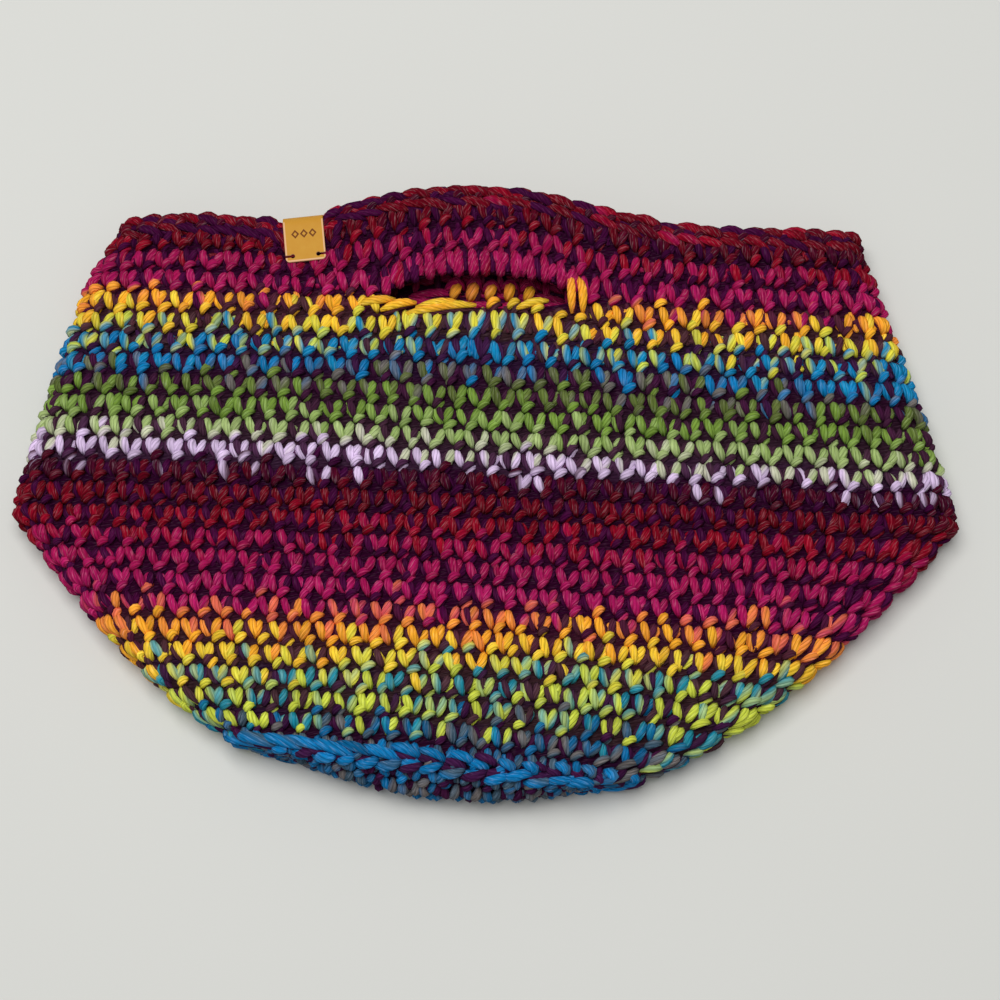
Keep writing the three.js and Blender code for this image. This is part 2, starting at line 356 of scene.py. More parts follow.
    def over_edge(
        self, rounds: int, share: Array, across: Array, lift: Array, roll: float, way: int
    ) -> Array:
        """Points round an edge of the handle band, which is half an ellipse over its thickness. Before the
        ellipse begins, across runs straight on the outer face.

        Args:
            rounds: The round that the edge lies on.
            share: Shares round the bag.
            across: Distance over the edge, zero where the outer face ends.
            lift: Height over the edge's surface.
            roll: The ellipse's height.
            way: 1 for an upper edge, -1 for a lower one.

        Returns:
            Points with a last axis of three.
        """
        half = self.wall / 2
        length = np.pi * (half + roll) / 2
        angle = np.minimum(np.clip(across, 0, None) / length, 1) * np.pi
        points = self.place(float(rounds), share, half - (half + lift) * np.cos(angle), True)
        points[..., 1] += way * ((roll + lift) * np.sin(angle) + np.minimum(across, 0))
        return points


@dataclass(frozen=True)
class Bow:
    """One visible bow of the two strands, between the two places where they dive into the fabric.

    Start and end are in stitch widths across and in rounds up. Heights are from the stitch crests.
    """

    start: Pair
    end: Pair
    lift: float = -2.1
    dive: float = -5.0
    bend: float = 0.0
    lead: float = 62.0
    turn: float = 40.0
    plump: float = 1.0
    swaps: float = 0.12
    mixing: float = 1.0


def loose(start: Pair, end: Pair, **shape: float) -> Bow:
    """A bow that hangs loose: its strands keep their order, and their dye hardly wanders."""
    return Bow(start, end, swaps=0, mixing=0.2, **shape)


@dataclass
class StrandSet:
    """Tubes along many short paths, and what the yarn's finish reads on them."""

    points: Array
    along: Array
    stripe: Array
    strand: Array
    shade: Array

    @staticmethod
    def joined(sets: list["StrandSet"]) -> "StrandSet":
        """All tubes of several sets with the same number of rings and sides."""
        return StrandSet(*(np.concatenate([getattr(s, f.name) for s in sets]) for f in fields(StrandSet)))

    def kept(self, keep: Array) -> "StrandSet":
        """Only the tubes of the stitches to keep, which come once for each strand."""
        keep = np.tile(keep, len(Strand))
        return StrandSet(*(getattr(self, f.name)[keep] for f in fields(StrandSet)))


@dataclass
class YarnWorker:
    """Lays pairs of strands along bows, with the unevenness of hand work."""

    form: BagForm
    rings: int = 6
    sides: int = 6
    radii: Pair = (2.08, 1.8)
    gap: float = 1.4
    end_thickness: float = 0.42
    middle_crowding: float = 0.035
    bluntness: float = 0.7
    bend_skew: float = 1.3
    place_stray: float = 0.042
    bend_stray: float = 0.25
    lift_stray: float = 0.22
    lead_stray: float = 22.0
    stitch_shade_stray: float = 0.08
    strand_shade_stray: float = 0.05
    thickness_stray: float = 0.06
    dye_stray: float = 0.2
    dye_jumps: tuple[float, ...] = (0.0, -0.85, 0.8)
    dye_jump_odds: tuple[float, ...] = (0.6, 0.2, 0.2)
    along_range: float = 400.0
    seed: int = 7
    rng: np.random.Generator = field(init=False)

    def __post_init__(self) -> None:
        """Starts the seeded unevenness."""
        self.rng = np.random.default_rng(self.seed)

    def pair(
        self,
        bow: Bow,
        count: int,
        pitch: Array,
        rise: float,
        place: Map,
        stripe: Map,
        twisted: Array | None = None,
    ) -> StrandSet:
        """Both strands of one bow in every stitch of a row.

        A strand's middle line is the straight line from start to end, plus a sideways bend of half a sine,
        plus a height that follows a blunt half sine from dive to lift and back, plus a small circle about
        that line, on which the two strands lie opposite each other and turn.

        Args:
            bow: The bow to lay.
            count: Number of stitches.
            pitch: Stitch width of each stitch.
            rise: Length of one unit up.
            place: Map from (across, up, height) arrays, one row per stitch, to points.
            stripe: Map from the same arrays to the place along the striped strand.
            twisted: True for each stitch in which the two strands have changed sides.

        Returns:
            Two tubes for each stitch.
        """
        rng = self.rng
        step = np.linspace(0, 1, self.rings)
        step = step + self.middle_crowding * np.sin(2 * np.pi * step)
        hump = np.sin(np.pi * step) ** self.bluntness
        start = np.array(bow.start) + rng.normal(0, self.place_stray, (count, 2))
        end = np.array(bow.end) + rng.normal(0, self.place_stray, (count, 2))
        unit = np.stack(np.broadcast_arrays(pitch, np.float64(rise)), -1).reshape(-1, 2)
        run = (end - start) * unit
        length = np.linalg.norm(run, axis=1, keepdims=True)
        side = np.stack([-run[:, 1], run[:, 0]], 1) / length
        bend = bow.bend + rng.normal(0, self.bend_stray, (count, 1))
        lift = bow.lift + rng.normal(0, self.lift_stray, (count, 1))
        lead = bow.lead + rng.normal(0, self.lead_stray, (count, 1))
        lead = lead + 180 * (rng.random((count, 1)) < bow.swaps)
        if twisted is not None:
            lead = np.where(twisted[:, None], 180 - lead, lead)
        turn = np.radians(lead + bow.turn * (step - 0.5))
        shade = rng.normal(1, self.stitch_shade_stray, count)
        wander = rng.normal(0, self.dye_stray, count)
        wander = (wander + rng.choice(self.dye_jumps, count, p=self.dye_jump_odds)) * bow.mixing
        line = start[:, None] * unit[:, None] + run[:, None] * step[:, None]
        swell = bow.plump * (self.end_thickness + (1 - self.end_thickness) * hump)
        sets = []
        for strand in Strand:
            apart = self.gap if strand is Strand.STRIPED else -self.gap
            off = bend * np.sin(np.pi * step**self.bend_skew) + apart * bow.plump * np.cos(turn)
            across, up = ((line + off[..., None] * side[:, None]) / unit[:, None]).transpose(2, 0, 1)
            height = bow.dive + (lift - bow.dive) * hump + apart * np.sin(turn)
            radius = self.radii[strand.value] * swell * rng.normal(1, self.thickness_stray, (count, 1))
            number = stripe(across, up, height).mean(1) + wander
            normal = place(across, up, height + 0.5) - place(across, up, height - 0.5)
            sets.append(
                StrandSet(
                    points=self.tube(place(across, up, height), normal, radius),
                    along=length * step + rng.uniform(0, self.along_range, (count, 1)),
                    stripe=np.repeat(number[:, None], self.rings, 1),
                    strand=np.full(count, float(strand.value)),
                    shade=shade * rng.normal(1, self.strand_shade_stray, count),
                )
            )
        return StrandSet.joined(sets)

    def tube(self, path: Array, normal: Array, radius: Array) -> Array:
        """Rings of points square to each path: its middle line plus the radius times a unit circle.

        Args:
            path: Middle lines, as (tubes, rings, 3).
            normal: A direction out of the fabric at each point.
            radius: Radii, as (tubes, rings).

        Returns:
            Points as (tubes, rings, sides, 3), none of them below the table.
        """
        tangent = np.gradient(path, axis=1)
        tangent /= np.linalg.norm(tangent, axis=-1, keepdims=True)
        side = np.cross(tangent, normal)
        side /= np.linalg.norm(side, axis=-1, keepdims=True)
        out = np.cross(side, tangent)
        angle = 2 * np.pi * np.arange(self.sides)[:, None] / self.sides
        circle = np.sin(angle) * side[:, :, None] - np.cos(angle) * out[:, :, None]
        points = path[:, :, None] + radius[:, :, None, None] * circle
        points[..., 2] = np.maximum(points[..., 2], 0)
        return self.form.under_tag(points)


class MeshWriter:
    """Writes whole arrays into Blender meshes.

    The numbers lay out a tube's cell of the second chart: its side faces, and a cap at either end.
    """

    SIDE_CORNER = (0.1, 0.06)
    SIDE_SIZE = (0.8, 0.88)
    CAP_MIDDLES = ((0.05, 0.5), (0.95, 0.5))
    CAP_RADII = (0.04, 0.3)

    @staticmethod
    def piece(name: str, points: Array, faces: list[Array], material: Material) -> Piece:
        """A smooth-shaded object at the origin.

        Args:
            name: The piece's name.
            points: Points in millimetres.
            faces: Arrays of corner numbers, one array for each number of corners.
            material: The piece's finish.

        Returns:
            The new object.
        """
        corners = np.concatenate([f.ravel() for f in faces]).astype(np.int32)
        sizes = np.concatenate([np.full(len(f), f.shape[1]) for f in faces]).astype(np.int32)
        mesh = bpy.data.meshes.new(name)
        mesh.vertices.add(len(points))
        mesh.vertices.foreach_set("co", (points * MM).astype(np.float32).ravel())
        mesh.loops.add(len(corners))
        mesh.loops.foreach_set("vertex_index", corners)
        mesh.polygons.add(len(sizes))
        mesh.polygons.foreach_set("loop_start", (np.cumsum(sizes) - sizes).astype(np.int32))
        mesh.polygons.foreach_set("loop_total", sizes)
        mesh.polygons.foreach_set("use_smooth", np.ones(len(sizes), bool))
        mesh.update(calc_edges=True)
        mesh.materials.append(material)
        made = bpy.data.objects.new(name, mesh)
        bpy.context.scene.collection.objects.link(made)
        return made

    @staticmethod
    def weld(mesh: bpy.types.Mesh, flat: float = 0.0) -> None:
        """Joins points in the same place, and then faces that meet at less than the flat angle.

        Args:
            mesh: The mesh to join up.
            flat: The angle in radians, or nought to keep all faces.
        """
        work = bmesh.new()
        work.from_mesh(mesh)
        bmesh.ops.remove_doubles(work, verts=work.verts, dist=WELD)
        if flat:
            bmesh.ops.dissolve_limit(work, angle_limit=flat, verts=work.verts, edges=work.edges)
        work.to_mesh(mesh)
        work.free()

    @staticmethod
    def number(made: Piece, name: str, values: Array) -> None:
        """Gives each point of a piece a number that its finish reads."""
        layer = made.data.attributes.new(name, "FLOAT", "POINT")
        layer.data.foreach_set("value", values.astype(np.float32).ravel())

    @staticmethod
    def chart(made: Piece, name: str, values: list[Array]) -> None:
        """Gives each face corner of a piece a place on a flat chart, in the order of the faces.

        Args:
            made: The piece.
            name: The chart's name.
            values: Places for the corners of each array of faces.
        """
        layer = made.data.uv_layers.new(name=name, do_init=False)
        flat = np.concatenate([part.reshape(-1, 2) for part in values])
        layer.uv.foreach_set("vector", flat.astype(np.float32).ravel())

    @staticmethod
    def strands(name: str, work: StrandSet, material: Material) -> Piece:
        """One piece from many closed tubes: quads between rings, and a flat cap on each end.

        Its first chart has the millimetres along a strand and the share round it. On its second, every tube
        has a cell of its own in a square of cells.

        Args:
            name: The piece's name.
            work: The tubes.
            material: The yarn's finish.

        Returns:
            The new object.
        """
        tubes, rings, sides, _ = work.points.shape
        first = np.arange(tubes)[:, None, None] * rings * sides
        ring = np.arange(rings - 1)[:, None] * sides
        side = np.arange(sides)
        after = (side + 1) % sides
        quads = np.stack([ring + side, ring + sides + side, ring + sides + after, ring + after], -1)
        quads = (first[..., None] + quads).reshape(-1, 4)
        low = (first[:, :, 0] + side).reshape(-1, sides)
        high = (first[:, :, 0] + (rings - 1) * sides + side[::-1]).reshape(-1, sides)
        made = MeshWriter.piece(name, work.points.reshape(-1, 3), [quads, low, high], material)
        MeshWriter.number(made, "stripe", np.repeat(work.stripe, sides))
        MeshWriter.number(made, "strand", np.repeat(work.strand, rings * sides))
        MeshWriter.number(made, "shade", np.repeat(work.shade, rings * sides))
        u = np.arange(rings - 1)[:, None, None] + np.array([0, 1, 1, 0])
        v = np.arange(sides)[None, :, None] + np.array([0, 0, 1, 1])
        u, v = np.broadcast_arrays(u, v)
        along = np.take_along_axis(work.along[:, None], u.reshape(1, 1, -1), 2).reshape(tubes, *u.shape)
        lay = [np.stack([along, np.broadcast_to(v / sides, along.shape)], -1)]
        for end, around in ((0, side), (-1, side[::-1])):
            lay.append(np.stack(np.broadcast_arrays(work.along[:, end, None], around / sides), -1))
        MeshWriter.chart(made, "strand_lay", lay)
        cells = int(np.ceil(np.sqrt(tubes)))
        corner = np.stack([np.arange(tubes) % cells, np.arange(tubes) // cells], -1)
        inside = np.array(MeshWriter.SIDE_CORNER)
        inside = inside + np.stack([u / (rings - 1), v / sides], -1) * MeshWriter.SIDE_SIZE
        turn = 2 * np.pi * side / sides
        spot = np.stack([np.cos(turn), np.sin(turn)], -1) * MeshWriter.CAP_RADII
        cell = [(corner[:, None, None, None] + inside) / cells]
        for middle, around in zip(MeshWriter.CAP_MIDDLES, (spot, spot[::-1]), strict=True):
            cell.append((corner[:, None] + np.array(middle) + around) / cells)
        MeshWriter.chart(made, "OFBake", cell)
        return made


def dress(made: Piece, node: str) -> None:
    """Fixes a finished piece to the bag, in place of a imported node, and reports it.

    Args:
        made: The finished piece.
        node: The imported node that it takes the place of.
    """
    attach(made, "root")
    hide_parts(node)
    log.info("%s: %d faces", made.name, len(made.data.polygons))


class Graph:
    """A material's nodes, added and wired one after another."""

    def __init__(self, name: str) -> None:
        """Starts a material with one Principled shader.

        Args:
            name: The material's name.
        """
        self.material = bpy.data.materials.new(name)
        self.material.use_nodes = True
        self.tree = self.material.node_tree
        self.shader = self.tree.nodes["Principled BSDF"]

    def add(self, kind: str, inputs: dict | None = None, **settings: object) -> bpy.types.Node:
        """A new node.

        Args:
            kind: The node's type.
            inputs: Values or sockets for its inputs, by name or number.
            settings: Its properties.

        Returns:
            The node.
        """
        node = self.tree.nodes.new(kind)
        for name, value in settings.items():
            setattr(node, name, value)
        for name, value in (inputs or {}).items():
            self.give(node.inputs[name], value)
        return node

    def give(self, socket: Socket, value: object) -> None:
        """Sets a socket to a value, or wires another socket to it.

        Args:
            socket: The input to set.
            value: A value, or the output to wire to it.
        """
        if isinstance(value, Socket):
            self.tree.links.new(value, socket)
        else:
            socket.default_value = value

    def math(self, operation: str, *values: object, clamp: bool = False) -> Socket:
        """The result of one sum on sockets and numbers."""
        inputs = dict(enumerate(values))
        return self.add("ShaderNodeMath", inputs, operation=operation, use_clamp=clamp).outputs[0]

    def blend(self, share: object, first: object, second: object, kind: str = "MIX") -> Socket:
        """A mix of two colours.

        Args:
            share: Share of the second colour.
            first: The first colour.
            second: The second colour.
            kind: How the two are mixed.

        Returns:
            The mixed colour.
        """
        node = self.add("ShaderNodeMix", data_type="RGBA", blend_type=kind)
        self.give(node.inputs["Factor"], share)
        self.give(node.inputs["A"], first)
        self.give(node.inputs["B"], second)
        return node.outputs["Result"]

    def axes(self, vector: Socket) -> bpy.types.NodeOutputs:
        """The three numbers of a vector."""
        return self.add("ShaderNodeSeparateXYZ", {0: vector}).outputs

    def bump(self, strength: float, distance: float, height: object) -> Socket:
        """A normal that follows a height."""
        inputs = {"Strength": strength, "Distance": distance, "Height": height}
        return self.add("ShaderNodeBump", inputs).outputs[0]

    def finish(self, values: dict[str, object]) -> Material:
        """Gives the shader its values.

        Args:
            values: Values or sockets for the shader's inputs, by name.

        Returns:
            The material.
        """
        for name, value in values.items():
            self.give(self.shader.inputs[name], value)
        return self.material


@dataclass(frozen=True)
class YarnFinish:
    """Soft plied yarn: a strand dyed in stripes and a plain plum one."""

    lay: float = 23.0
    plies: int = 6
    ply_roundness: float = 0.7
    marl: float = 0.18
    girth: float = 11.0
    dense_turn: float = 0.6
    # painted reflected light: the share of the striped dye that is mixed into the plum strand
    plum_painted_bounce: float = 0.04
    fibre_scale: Pair = (0.35, 23.0)
    fibre_detail: float = 3.0
    # painted shade: how far the colour follows the ply ridges, darkest in the grooves between plies
    ply_light: float = 0.4
    fibre_light: float = 1.5
    # pale loose fuzz and painted highlight: the brightest fibres are blended towards a pale colour
    fuzz_and_highlight_from: float = 0.54
    fuzz_and_highlight_share: float = 0.9
    plum_fuzz_and_highlight: float = 0.2
    fuzz_and_highlight_colour: tuple[float, float, float, float] = (0.8, 0.72, 0.76, 1.0)
    bump: Pair = (0.75, 0.0003)
    roughness: float = 0.9
    specular: float = 0.03
    joint: int = 22
    stripes: tuple[tuple[float, Dye], ...] = (
        (-2.4, Dye.SLATE), (-1.7, Dye.STONE), (-1.2, Dye.DEEP_SEA), (-0.8, Dye.SLATE),
        (-0.4, Dye.SEA), (0.1, Dye.DEEP_SEA), (0.45, Dye.SLATE), (0.75, Dye.STONE),
        (1.0, Dye.SLATE), (1.2, Dye.DEEP_SEA), (1.45, Dye.TEAL), (1.9, Dye.LIME),
        (2.6, Dye.LIME), (3.3, Dye.TEAL), (3.9, Dye.CITRON), (4.5, Dye.CORN),
        (5.1, Dye.AMBER), (5.8, Dye.APRICOT), (6.2, Dye.SALMON), (6.6, Dye.ROSE),
        (9.0, Dye.MAGENTA), (10.1, Dye.CRIMSON), (11.3, Dye.GARNET), (12.7, Dye.MULBERRY),
        (12.98, Dye.LILAC), (13.5, Dye.LILAC), (13.8, Dye.SAND), (14.35, Dye.PALE_GREEN),
        (15.6, Dye.LEAF), (16.5, Dye.OLIVE), (17.0, Dye.STONE), (17.5, Dye.SEA),
        (18.25, Dye.TURQUOISE), (18.6, Dye.LIME), (18.85, Dye.TURQUOISE), (19.25, Dye.CITRON),
        (19.75, Dye.CORN), (20.3, Dye.AMBER), (20.8, Dye.APRICOT), (21.05, Dye.ROSE),
        (22.3, Dye.MAGENTA), (22.75, Dye.CRIMSON), (23.15, Dye.GARNET), (24.2, Dye.MULBERRY),
    )

    def ramp(self, g: Graph, stripe: object, stops: tuple[tuple[float, Dye], ...]) -> Socket:
        """The colour at a stripe number, eased from stop to stop.

        Args:
            g: The material's nodes.
            stripe: Place along the striped strand.
            stops: Places along the striped strand and their dyes.

        Returns:
            The colour.
        """
        first, last = stops[0][0], stops[-1][0]
        share = g.math("DIVIDE", g.math("SUBTRACT", stripe, first), last - first)
        ramp = g.add("ShaderNodeValToRGB", {0: share})
        ramp.color_ramp.interpolation = "EASE"
        elements = ramp.color_ramp.elements
        while len(elements) < len(stops):
            elements.new(1)
        for element, (at, dye) in zip(elements, stops, strict=True):
            element.position = (at - first) / (last - first)
            element.color = linear(dye.value)
        return ramp.outputs[0]

    def dyed(self, g: Graph, stripe: object) -> Socket:
        """The striped strand's colour, by two ramps that meet at the joint, as one holds only 32 stops.

        Args:
            g: The material's nodes.
            stripe: Place along the striped strand.

        Returns:
            The colour.
        """
        low = self.ramp(g, stripe, self.stripes[: self.joint + 1])
        high = self.ramp(g, stripe, self.stripes[self.joint :])
        return g.blend(g.math("GREATER_THAN", stripe, self.stripes[self.joint][0]), low, high)

    def chart(self, g: Graph, dense: bool) -> bpy.types.NodeOutputs:
        """The millimetres along a strand and the share round it.

        Args:
            g: The material's nodes.
            dense: True for yarn packed side by side.

        Returns:
            The two numbers, as the first outputs of one node.
        """
        if not dense:
            return g.axes(g.add("ShaderNodeUVMap", uv_map="strand_lay").outputs[0])
        where = g.add("ShaderNodeTexCoord").outputs["Object"]
        lay = {"Vector": where, "Rotation": (0, 0, self.dense_turn), "Scale": (MM, MM * self.girth, 1)}
        return g.axes(g.add("ShaderNodeMapping", lay, vector_type="TEXTURE").outputs[0])

    def material(self, dense: bool = False) -> Material:
        """The colour follows the stripe number. Half of the strand's plies run a little ahead of the others,
        so two neighbouring dyes twist round each other where the colour changes. The plies are round ridges,
        by the size of a sine of the twist, and fine fibres follow them as stretched noise. Painted shade
        darkens the colour in the grooves between the plies. The plum strand takes a little of the striped dye
        as painted reflected light, and the brightest fibres are blended towards pale as loose fuzz and
        painted highlight.

        Args:
            dense: True for yarn packed side by side, whose strands all run aslant over the bag.

        Returns:
            The yarn's material.
        """
        g = Graph("dense_yarn" if dense else "two_strand_yarn")
        stripe, plum, shade = (
            g.add("ShaderNodeAttribute", attribute_name=name).outputs["Fac"]
            for name in ("stripe", "strand", "shade")
        )
        axes = self.chart(g, dense)
        twist = g.math("MULTIPLY_ADD", axes[0], 1 / self.lay, axes[1])
        half = g.math("SINE", g.math("MULTIPLY", twist, 2 * np.pi))
        ply = g.math("ABSOLUTE", g.math("SINE", g.math("MULTIPLY", twist, np.pi * self.plies)))
        ply = g.math("POWER", ply, self.ply_roundness)
        dyed = self.dyed(g, g.math("MULTIPLY_ADD", half, self.marl, stripe))
        # painted reflected light: the plum strand takes a little of the striped dye of its stitch
        colour = g.blend(plum, dyed, g.blend(self.plum_painted_bounce, linear(Dye.PLUM.value), dyed))
        run = {
            0: g.math("MULTIPLY", axes[0], self.fibre_scale[0]),
            1: g.math("MULTIPLY", twist, self.fibre_scale[1]),
        }
        course = g.add("ShaderNodeCombineXYZ", run).outputs[0]
        noise = {"Vector": course, "Scale": 1.0, "Detail": self.fibre_detail}
        fibre = g.add("ShaderNodeTexNoise", noise).outputs[0]
        # painted shade: the colour is darkest in the grooves between plies and lightest on their ridges; the
        # fibre noise adds lighter and darker streaks
        light = g.math("MULTIPLY_ADD", ply, self.ply_light, g.math("MULTIPLY", fibre, self.fibre_light))
        light = g.math("MULTIPLY", light, shade)
        grey = g.add("ShaderNodeCombineColor", {0: light, 1: light, 2: light}).outputs[0]
        colour = g.blend(1.0, colour, grey, "MULTIPLY")
        # pale loose fuzz and painted highlight on the brightest fibres, weaker on the plum strand
        fuzz_and_highlight = g.math("MULTIPLY", g.math("SUBTRACT", fibre, self.fuzz_and_highlight_from, clamp=True), self.fuzz_and_highlight_share)
        fuzz_and_highlight = g.math("MULTIPLY", fuzz_and_highlight, g.math("MULTIPLY_ADD", plum, self.plum_fuzz_and_highlight - 1, 1.0))
        return g.finish(
            {
                "Base Color": g.blend(fuzz_and_highlight, colour, self.fuzz_and_highlight_colour),
                "Normal": g.bump(*self.bump, g.math("ADD", fibre, ply)),
                "Roughness": self.roughness,
                "Specular IOR Level": self.specular,
            }
        )


@dataclass(frozen=True)
class LeatherFinish:
    """Smooth tan leather with pale cut edges and a small burnt row of diamonds."""

    form: BagForm
    tan: Colour = (206, 154, 58)
    deep: Colour = (196, 136, 42)
    edge: Colour = (226, 178, 132)
    burnt: Colour = (112, 58, 12)
    cloud_scale: float = 260.0
    cloud_detail: float = 4.0
    grain_scale: float = 2600.0
    diamonds: int = 3
    diamond: Pair = (1.9, 2.2)
    line: Pair = (0.45, 0.92)
    row_up: float = 1.6
    rim: float = 0.75
    cut_slope: float = 0.8
    fold_length: float = 3.0
    bump: Pair = (0.3, 0.0001)
    roughness: float = 0.6
    specular: float = 0.15

    def burns(self, g: Graph, x: object, y: object) -> Socket:
        """One on the lines of the diamonds: where the distances along and across the row, each in halves of a
        diamond, add up to a number within the line.

        Args:
            g: The material's nodes.
            x: Place across the tag.
            y: Place along the tag.

        Returns:
            One or nought.
        """
        wide, high = self.diamond
        along = g.math("PINGPONG", g.math("ADD", x, wide), 2 * wide)
        along = g.math("ABSOLUTE", g.math("SUBTRACT", along, wide))
        height = g.math("ABSOLUTE", g.math("SUBTRACT", y, self.row_up))
        reach = g.math("ADD", g.math("DIVIDE", along, wide), g.math("DIVIDE", height, high))
        low, top = self.line
        inside = g.math("MULTIPLY", g.math("LESS_THAN", reach, top), g.math("GREATER_THAN", reach, low))
        return g.math("MULTIPLY", inside, g.math("LESS_THAN", g.math("ABSOLUTE", x), self.diamonds * wide))

    def cuts(self, g: Graph, x: object, y: object) -> Socket:
        """One along the cut outline: on steep faces and near the sides and the foot, but not on the fold.

        Args:
            g: The material's nodes.
            x: Place across the tag.
            y: Place along the tag.

        Returns:
            One or nought.
        """
        normal = g.add("ShaderNodeNewGeometry").outputs["True Normal"]
        steep = g.math("LESS_THAN", g.math("ABSOLUTE", g.axes(normal)[2]), self.cut_slope)
        side = g.math("SUBTRACT", g.math("ABSOLUTE", x), self.form.tag_width / 2 - self.rim)
        foot = g.math("SUBTRACT", self.rim - self.form.tag_length / 2, y)
        near = g.math("GREATER_THAN", g.math("MAXIMUM", side, foot), 0.0)
        below = g.math("LESS_THAN", y, self.form.tag_length / 2 - self.fold_length)
        return g.math("MULTIPLY", g.math("MAXIMUM", steep, near), below)

    def material(self) -> Material:
        """Tan clouds by noise, darker on the diamonds and pale along the cut outline.

        Returns:
            The tag's material.
        """
        g = Graph("tan_leather")
        where = g.add("ShaderNodeTexCoord").outputs["Object"]
        noise = {"Vector": where, "Scale": self.cloud_scale, "Detail": self.cloud_detail}
        cloud = g.add("ShaderNodeTexNoise", noise).outputs[0]
        cells = {"Vector": where, "Scale": self.grain_scale}
        grain = g.add("ShaderNodeTexVoronoi", cells, feature="SMOOTH_F1").outputs[0]
        local = {
            "Vector": where,
            "Location": (self.form.tag_middle[0] * MM, self.form.tag_middle[1] * MM, 0),
            "Rotation": (0, 0, np.radians(self.form.tag_tilt)),
            "Scale": (MM, MM, MM),
        }
        x, y, _ = g.axes(g.add("ShaderNodeMapping", local, vector_type="TEXTURE").outputs[0])
        colour = g.blend(cloud, linear(self.deep), linear(self.tan))
        colour = g.blend(self.burns(g, x, y), colour, linear(self.burnt))
        return g.finish(
            {
                "Base Color": g.blend(self.cuts(g, x, y), colour, linear(self.edge)),
                "Normal": g.bump(*self.bump, grain),
                "Roughness": self.roughness,
                "Specular IOR Level": self.specular,
            }
        )


@dataclass(frozen=True)
class TableFinish:
    """A matt pale table top."""

    colour: Colour = (219, 219, 214)
    dimming: float = 0.97
    cloud_scale: float = 3.0
    roughness: float = 0.9
    specular: float = 0.1

    def material(self) -> Material:
        """A faintly clouded matt surface.

        Returns:
            The table's material.
        """
        g = Graph("pale_table")
        where = g.add("ShaderNodeTexCoord").outputs["Object"]
        cloud = g.add("ShaderNodeTexNoise", {"Vector": where, "Scale": self.cloud_scale}).outputs[0]
        pale = linear(self.colour)
        dim = tuple(self.dimming * part for part in pale[:3]) + (1.0,)
        return g.finish(
            {
                "Base Color": g.blend(cloud, dim, pale),
                "Roughness": self.roughness,
                "Specular IOR Level": self.specular,
            }
        )


